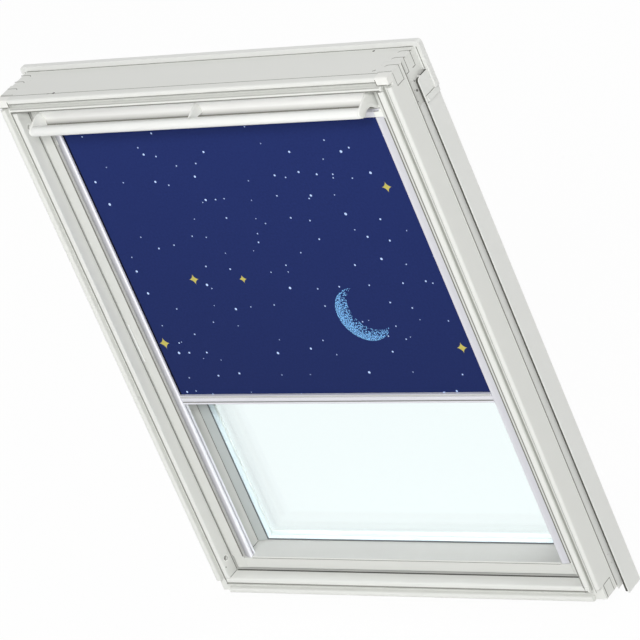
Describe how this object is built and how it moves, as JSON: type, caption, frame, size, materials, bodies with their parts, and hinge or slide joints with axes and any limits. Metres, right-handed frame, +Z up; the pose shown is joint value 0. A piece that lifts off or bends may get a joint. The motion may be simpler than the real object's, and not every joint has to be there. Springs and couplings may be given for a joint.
{
  "type": "skylight window blind",
  "caption": "Pivoting roof window with glazing, ventilation flap, control bar and a blackout roller blind in side channels.",
  "frame": {"origin": "middle of the flat underside of the frame's bottom rail", "axes": "+X to the right as seen from the room, +Y out through the roof, +Z up the slope"},
  "size_m": [0.797, 0.1185, 1.0125],
  "materials": {
    "painted_frame": "white paint, satin",
    "painted_sash": "white paint, satin",
    "lacquered_sheet": "white lacquer, satin",
    "white_bar": "white lacquer, satin",
    "anodised": "pale anodised, satin",
    "steel": "zinc plated",
    "rubber": "matt",
    "plastic": "white, fine satin",
    "glass": "clear, polished",
    "cloth": "coated blackout weave, matt",
    "filter": "open foam, matt"
  },
  "bodies": {
    "frame": {"frame_left_jamb": "painted_frame", "frame_right_jamb": "painted_frame", "frame_top_rail": "painted_frame", "frame_bottom_rail": "painted_frame", "head_hood": "lacquered_sheet", "bottom_cover": "lacquered_sheet", "left_side_cover": "lacquered_sheet", "right_side_cover": "lacquered_sheet", "hood_clip_left": "lacquered_sheet", "hood_clip_right": "lacquered_sheet", "frame_pivot_left": "steel", "frame_pivot_right": "steel", "latch_strike": "steel", "ventilation_bush": "plastic", "cleaning_bush": "plastic"},
    "sash": {"sash_left_stile": "painted_sash", "sash_right_stile": "painted_sash", "sash_top_rail": "painted_sash", "sash_bottom_rail": "painted_sash", "sash_pivot_left": "steel", "sash_pivot_right": "steel", "flap_pin_left": "steel", "flap_pin_right": "steel", "lock_case": "steel", "inner_pane": "glass", "outer_pane": "glass", "glass_spacer": "anodised", "blind_cassette": "anodised", "side_channel_left": "anodised", "side_channel_right": "anodised", "glazing_bead_left": "plastic", "glazing_bead_right": "plastic", "bolt_sleeve": "plastic", "cassette_cap_left": "plastic", "cassette_cap_right": "plastic", "glazing_gasket": "rubber", "sash_seal": "rubber", "sash_cover_left": "lacquered_sheet", "sash_cover_right": "lacquered_sheet", "sash_cover_top": "lacquered_sheet", "sash_cover_bottom": "lacquered_sheet", "vent_filter": "filter", "blackout_cloth": "cloth"},
    "control_flap": {"vent_flap": "plastic", "end_arm_left": "plastic", "end_arm_right": "plastic", "middle_arm": "plastic", "control_bar": "white_bar", "flap_seal": "rubber"},
    "latch": {"latch_tongue": "steel"},
    "bolt": {"barrel_bolt": "steel"},
    "blind": {"blind_bottom_bar": "anodised", "bar_glide_left": "plastic", "bar_glide_right": "plastic"},
    "roller": {"roller_tube": "anodised", "cloth_roll": "cloth", "roller_plug_left": "plastic", "roller_plug_right": "plastic"}
  },
  "joints": [
    {"name": "sash_pivot", "type": "hinge", "parent": "frame", "child": "sash", "pos_m": [0, 0.013, 0.4915], "axis": [1, 0, 0], "range_deg": [0, 180]},
    {"name": "flap_hinge", "type": "hinge", "parent": "sash", "child": "control_flap", "pos_m": [0, 0.0055, 0.912], "axis": [1, 0, 0], "range_deg": [0, 50]},
    {"name": "latch_slide", "type": "slide", "parent": "sash", "child": "latch", "axis": [0, 0, -1], "range_m": [0, 0.012]},
    {"name": "bolt_slide", "type": "slide", "parent": "sash", "child": "bolt", "axis": [-1, 0, 0], "range_m": [0, 0.012]},
    {"name": "blind_slide", "type": "slide", "parent": "sash", "child": "blind", "axis": [0, 0, 1], "range_m": [-0.308, 0.495], "deforming": ["blackout_cloth"]},
    {"name": "roller_spin", "type": "hinge", "parent": "sash", "child": "roller", "pos_m": [0, 0.021, 0.8925], "axis": [1, 0, 0], "range_deg": [-2260, 1410]}
  ],
  "couplings": [
    {"joint": "latch_slide", "follows": "flap_hinge", "m_per_rad": 0.013},
    {"joint": "roller_spin", "follows": "blind_slide", "rad_per_m": -79.365}
  ]
}
